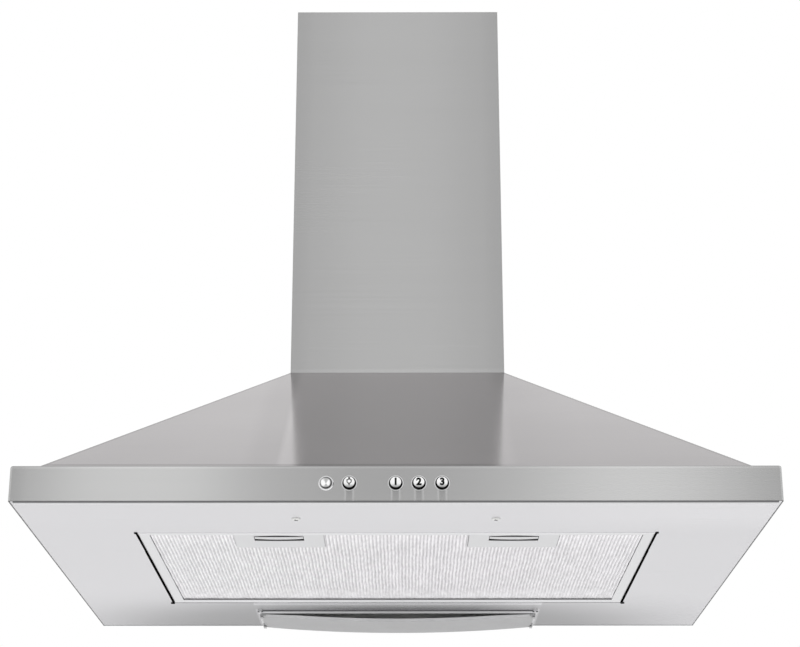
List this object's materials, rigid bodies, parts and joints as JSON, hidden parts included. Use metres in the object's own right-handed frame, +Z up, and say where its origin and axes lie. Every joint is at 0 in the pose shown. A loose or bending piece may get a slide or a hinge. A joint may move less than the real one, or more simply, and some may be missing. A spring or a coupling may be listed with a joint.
{
  "type": "chimney range hood",
  "caption": "Wall-mounted chimney range hood: pyramid canopy on an upright band, telescopic chimney, swing-down grease filter, twin-inlet blower and bowed lamp cover.",
  "frame": {"origin": "on the wall plane, at the middle of the hood's foot (lower edge of the band)", "axes": "+X to the right seen from the front, +Y into the wall, +Z up"},
  "size_m": [0.6, 0.5038, 0.6115],
  "materials": {
    "body_steel": "horizontally brushed stainless sheet",
    "galvanised_steel": "dull galvanised sheet",
    "screw_steel": "bright zinc plating",
    "filter_aluminium": "bright rolled aluminium",
    "latch_plastic": "moulded dark grey",
    "latch_metal": "satin",
    "clip_plastic": "moulded dark grey",
    "diffuser_plastic": "frosted translucent sheet",
    "lamp_ceramic": "glazed white",
    "cap_metal": "plated thread",
    "bulb_glass": "frosted glass",
    "button_chrome": "polished chrome plating",
    "pilot_plastic": "clear moulded lens",
    "black_plastic": "fine moulded grain",
    "impeller_plastic": "moulded grey",
    "motor_metal": "laminated core and pressed covers",
    "black_rubber": "soft moulded",
    "capacitor_plastic": "moulded white can"
  },
  "bodies": {
    "root": {"apron_band": "body_steel", "canopy_front": "body_steel", "canopy_side_left": "body_steel", "canopy_side_right": "body_steel", "chimney_collar": "galvanised_steel", "rear_wall": "galvanised_steel", "base_panel": "body_steel", "panel_crossbar": "galvanised_steel", "base_screws": "screw_steel", "lamp_frame": "body_steel", "lamp_clips": "clip_plastic", "lamp_diffuser": "diffuser_plastic", "lamp_box": "galvanised_steel", "lamp_holders": "lamp_ceramic", "bulb_caps": "cap_metal", "bulbs": "bulb_glass", "switch_housing": "black_plastic", "pilot_lens": "pilot_plastic", "pilot_bezel": "button_chrome", "blower_shell_left": "black_plastic", "blower_shell_right": "black_plastic", "motor": "motor_metal", "motor_bracket": "galvanised_steel", "rubber_bushes": "black_rubber", "motor_screws": "screw_steel", "outlet_plate": "galvanised_steel", "cable_grommet": "black_rubber", "outlet_spigot": "black_plastic", "flap_axle": "screw_steel", "outlet_screws": "screw_steel", "capacitor": "capacitor_plastic", "capacitor_clip": "galvanised_steel", "terminal_box": "black_plastic", "terminal_lid": "black_plastic", "chimney_outer": "body_steel", "chimney_screws": "screw_steel"},
    "filter": {"filter_frame": "filter_aluminium", "filter_face": "filter_aluminium", "filter_core": "filter_aluminium", "filter_net": "filter_aluminium", "latch_plate_left": "filter_aluminium", "latch_plate_right": "filter_aluminium"},
    "latch_left": {"latch_slider_left": "latch_plastic", "latch_pull_left": "latch_metal"},
    "latch_right": {"latch_slider_right": "latch_plastic", "latch_pull_right": "latch_metal"},
    "button_light": {"button_light": "button_chrome"},
    "button_speed_1": {"button_speed_1": "button_chrome"},
    "button_speed_2": {"button_speed_2": "button_chrome"},
    "button_speed_3": {"button_speed_3": "button_chrome"},
    "impeller": {"impeller_disc": "impeller_plastic", "blades_left": "impeller_plastic", "blades_right": "impeller_plastic", "impeller_rim_left": "impeller_plastic", "impeller_rim_right": "impeller_plastic", "motor_shaft": "screw_steel"},
    "flap_front": {"flap_front": "black_plastic"},
    "flap_rear": {"flap_rear": "black_plastic"},
    "chimney_inner": {"chimney_inner": "body_steel", "ceiling_bracket": "galvanised_steel"}
  },
  "joints": [
    {"name": "filter_swing", "type": "hinge", "parent": "root", "child": "filter", "pos_m": [0, -0.114, 0.0011], "axis": [1, 0, 0], "range_deg": [0, 75]},
    {"name": "latch_left_slide", "type": "slide", "parent": "filter", "child": "latch_left", "axis": [0, 1, 0], "range_m": [0, 0.003], "stiffness_N_per_m": 200, "springref_m": -0.003},
    {"name": "latch_right_slide", "type": "slide", "parent": "filter", "child": "latch_right", "axis": [0, 1, 0], "range_m": [0, 0.003], "stiffness_N_per_m": 200, "springref_m": -0.003},
    {"name": "button_light_press", "type": "slide", "parent": "root", "child": "button_light", "axis": [0, 1, 0], "range_m": [0, 0.0026], "stiffness_N_per_m": 400, "springref_m": -0.0015},
    {"name": "button_speed_1_press", "type": "slide", "parent": "root", "child": "button_speed_1", "axis": [0, 1, 0], "range_m": [0, 0.0026], "stiffness_N_per_m": 400, "springref_m": -0.0015},
    {"name": "button_speed_2_press", "type": "slide", "parent": "root", "child": "button_speed_2", "axis": [0, 1, 0], "range_m": [0, 0.0026], "stiffness_N_per_m": 400, "springref_m": -0.0015},
    {"name": "button_speed_3_press", "type": "slide", "parent": "root", "child": "button_speed_3", "axis": [0, 1, 0], "range_m": [0, 0.0026], "stiffness_N_per_m": 400, "springref_m": -0.0015},
    {"name": "impeller_spin", "type": "hinge", "parent": "root", "child": "impeller", "pos_m": [0, -0.125, 0.118], "axis": [1, 0, 0], "continuous": true},
    {"name": "flap_front_swing", "type": "hinge", "parent": "root", "child": "flap_front", "pos_m": [0, -0.082, 0.2247], "axis": [-1, 0, 0], "range_deg": [0, 70]},
    {"name": "flap_rear_swing", "type": "hinge", "parent": "root", "child": "flap_rear", "pos_m": [0, -0.082, 0.2247], "axis": [1, 0, 0], "range_deg": [0, 70]},
    {"name": "chimney_slide", "type": "slide", "parent": "root", "child": "chimney_inner", "axis": [0, 0, 1], "range_m": [0, 0.3]}
  ]
}
